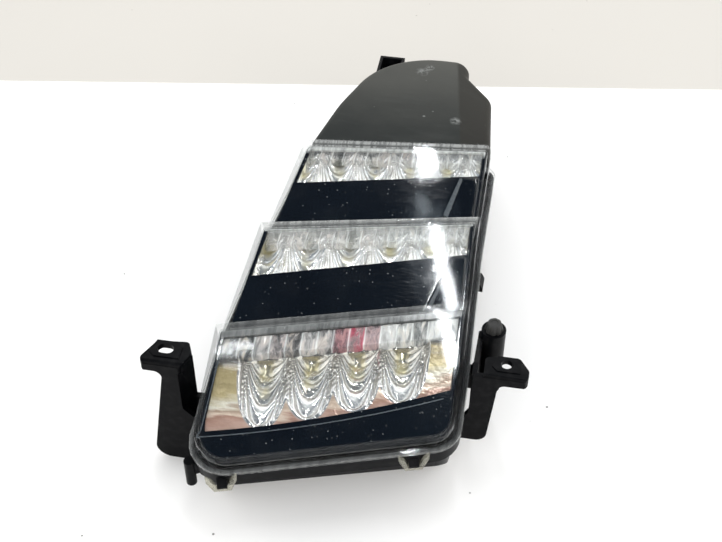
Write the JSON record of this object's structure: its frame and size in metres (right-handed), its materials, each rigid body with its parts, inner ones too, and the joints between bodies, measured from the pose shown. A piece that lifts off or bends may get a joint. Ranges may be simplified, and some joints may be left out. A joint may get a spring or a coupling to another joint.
{
  "type": "daytime running light",
  "caption": "Daytime running lamp with stepped clear light strips over glossy black bands, cupped reflectors, a dark rear dome and two side mounting brackets.",
  "frame": {"origin": "middle of the part's own box at its lowest face, the rear of the housing", "axes": "+Z the way the lamp faces, +Y towards the dome at the upper end, +X to the right as seen from the front with the dome away"},
  "size_m": [0.1892, 0.324, 0.0888],
  "materials": {
    "housing_black": "injection moulded black plastic, semi-gloss",
    "dome_grey": "fine-grained matte dark grey plastic",
    "lens_clear": "clear polished polycarbonate",
    "seal_black": "cured sealing compound",
    "bezel_black": "high-gloss blue-black plastic",
    "reflector_mirror": "vacuum metallised plastic",
    "prism_clear": "clear moulded plastic",
    "board_white": "white solder resist",
    "led_yellow": "phosphor package",
    "spreader_aluminium": "bare pressed aluminium",
    "screw_steel": "zinc plated",
    "board_green": "green solder resist",
    "parts_black": "moulded component bodies",
    "pin_tin": "tin plated brass",
    "wire_red": "insulated wire",
    "cap_rubber": "moulded rubber"
  },
  "bodies": {
    "root": {"housing": "housing_black", "dome_cover": "dome_grey", "outer_lens": "lens_clear", "lens_seal": "seal_black", "bezel": "bezel_black", "reflector_upper": "reflector_mirror", "reflector_middle": "reflector_mirror", "reflector_lower": "reflector_mirror", "prism_bar_upper": "prism_clear", "prism_bar_middle": "prism_clear", "prism_bar_lower": "prism_clear", "led_board_upper": "board_white", "led_board_middle": "board_white", "led_board_lower": "board_white", "leds_upper": "led_yellow", "leds_middle": "led_yellow", "leds_lower": "led_yellow", "heat_spreader_upper": "spreader_aluminium", "heat_spreader_middle": "spreader_aluminium", "heat_spreader_lower": "spreader_aluminium", "spreader_screws": "screw_steel", "driver_board": "board_green", "driver_parts": "parts_black", "driver_screws": "screw_steel", "connector_pins": "pin_tin", "board_wires": "wire_red", "breather_cap": "cap_rubber"}
  },
  "joints": []
}
